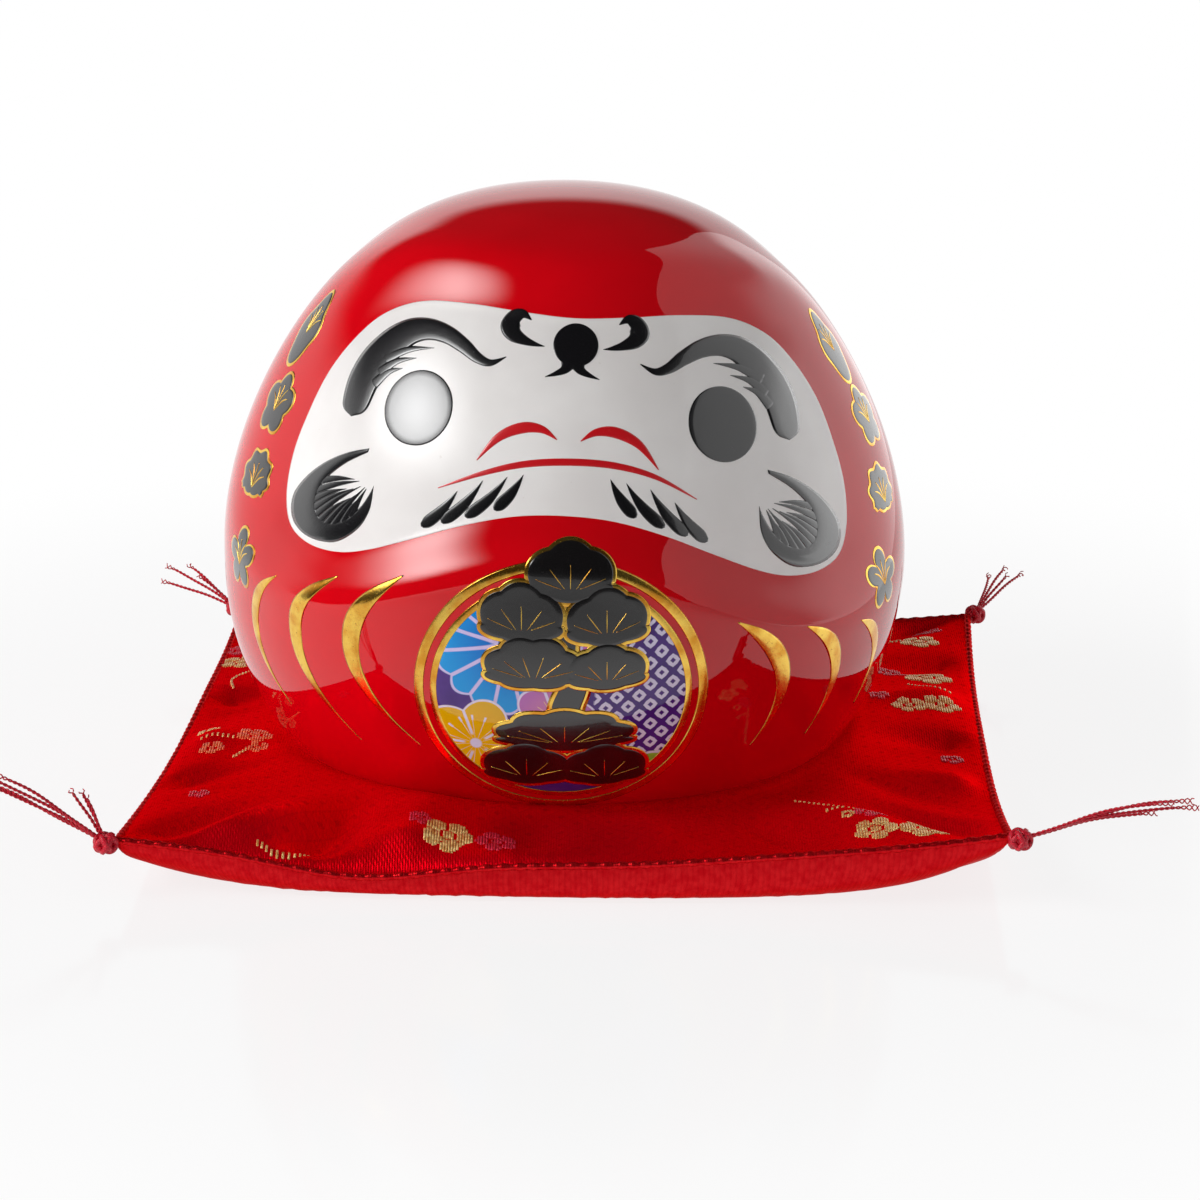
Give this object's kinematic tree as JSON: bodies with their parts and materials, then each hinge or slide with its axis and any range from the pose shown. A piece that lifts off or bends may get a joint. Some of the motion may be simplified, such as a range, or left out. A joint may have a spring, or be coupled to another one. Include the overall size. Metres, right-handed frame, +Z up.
{
  "type": "daruma doll",
  "caption": "Round daruma doll coin bank in glazed red ceramic with gilt stripes and belly medallion, nested on a tasselled red brocade cushion.",
  "frame": {"origin": "on the table plane under the cushion, on the doll's own upright axis", "axes": "+Z up, the doll's face looks along -Y, +X towards the doll's left hand (the viewer's right)"},
  "size_m": [0.1941, 0.1693, 0.104],
  "materials": {
    "robe_glaze": "high gloss crimson glaze",
    "white_glaze": "gloss white glaze",
    "black_enamel": "gloss black enamel",
    "red_enamel": "gloss red enamel",
    "gold_lustre": "bright gold lustre",
    "medallion_enamel": "gloss purple enamel with floral pattern",
    "charm_enamel": "dark gloss enamel with gold outline",
    "bung_rubber": "matte soft white rubber",
    "brocade": "red brocade with gold floats",
    "satin": "red ribbed satin",
    "wadding": "white polyester wadding",
    "silk_thread": "twisted crimson thread"
  },
  "bodies": {
    "cushion": {"cushion_top_cover": "brocade", "cushion_bottom_cover": "satin", "cushion_filling": "wadding", "tassel_knot_front_left": "silk_thread", "tassel_knot_front_right": "silk_thread", "tassel_knot_back_right": "silk_thread", "tassel_knot_back_left": "silk_thread", "tassel_threads_front_left": "silk_thread", "tassel_threads_front_right": "silk_thread", "tassel_threads_back_right": "silk_thread", "tassel_threads_back_left": "silk_thread"},
    "doll": {"body_shell": "robe_glaze", "face_glaze": "white_glaze", "eye_enamel": "black_enamel", "brow_enamel": "black_enamel", "nose_enamel": "black_enamel", "mouth_enamel": "red_enamel", "moustache_enamel": "black_enamel", "whisker_enamel": "black_enamel", "medallion_disc": "medallion_enamel", "medallion_rim": "gold_lustre", "robe_stripes": "gold_lustre", "side_charms": "charm_enamel"},
    "bung": {"base_bung": "bung_rubber"}
  },
  "joints": [
    {"name": "doll_lift", "type": "slide", "parent": "cushion", "child": "doll", "axis": [0, 0, 1], "range_m": [0, 0.08]},
    {"name": "bung_pull", "type": "slide", "parent": "doll", "child": "bung", "axis": [0, 0, -1], "range_m": [0, 0.016]}
  ],
  "couplings": [
    {"joint": "bung_pull", "follows": "doll_lift", "ratio": 0.2}
  ]
}
